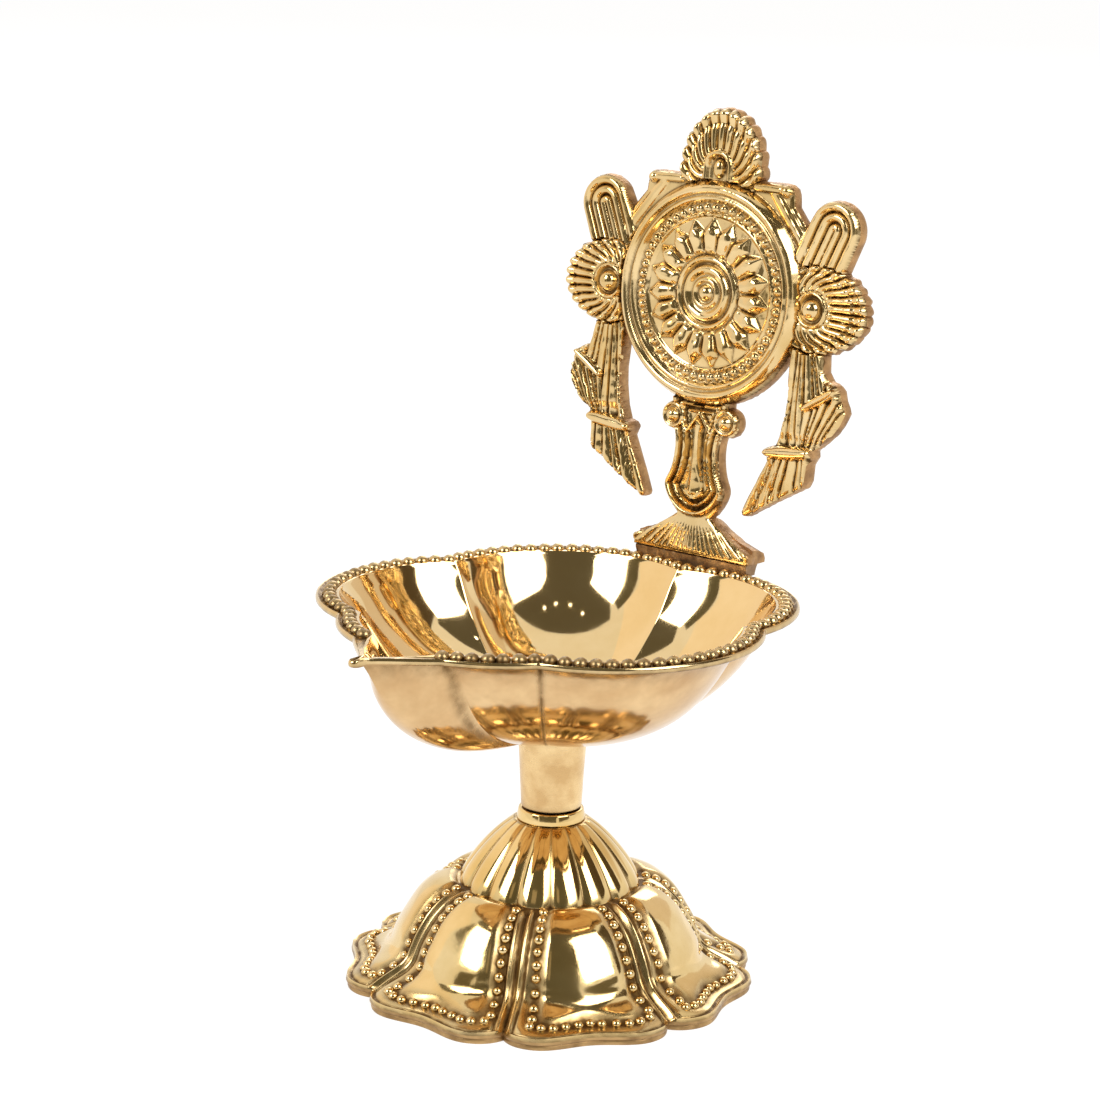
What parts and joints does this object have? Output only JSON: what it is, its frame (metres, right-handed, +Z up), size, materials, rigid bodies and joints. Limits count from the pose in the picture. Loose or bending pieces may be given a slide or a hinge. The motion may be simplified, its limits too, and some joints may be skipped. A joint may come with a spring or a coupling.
{
  "type": "footed oil lamp",
  "caption": "Footed devotional oil lamp: lobed bowl with a pouring lip and beaded rim on a stem, fluted dome and petal foot, with a cast relief plate standing behind the bowl.",
  "frame": {"origin": "on the stem's axis, at the table that the foot stands on", "axes": "+Z up along the stem, -Y towards the bowl's pouring lip, +Y towards the back plate, +X to the right seen from the lip"},
  "size_m": [0.0954, 0.1113, 0.17],
  "materials": {
    "foot_brass": "polished cast brass, darker in the recesses",
    "stem_brass": "satin turned brass",
    "bowl_brass": "mirror polished inside, satin outside",
    "plate_brass": "polished cast relief with rough sides",
    "solder": "dull brazed seam",
    "fixing_steel": "plain fixing steel"
  },
  "bodies": {
    "base": {"petal_foot": "foot_brass", "fluted_dome": "foot_brass", "tie_stud": "fixing_steel", "foot_washer": "fixing_steel", "foot_nut": "fixing_steel"},
    "collar": {"dome_collar": "foot_brass"},
    "upper": {"stem": "stem_brass", "bowl": "bowl_brass", "solder_seam": "solder", "back_plate": "plate_brass"}
  },
  "joints": [
    {"name": "bowl_turn", "type": "hinge", "parent": "base", "child": "collar", "pos_m": [0, 0, 0.035], "axis": [0, 0, 1], "range_deg": [0, 2016]},
    {"name": "bowl_rise", "type": "slide", "parent": "collar", "child": "upper", "axis": [0, 0, 1], "range_m": [0, 0.0071]}
  ],
  "couplings": [
    {"joint": "bowl_rise", "follows": "bowl_turn", "m_per_rad": 0.00019894}
  ]
}
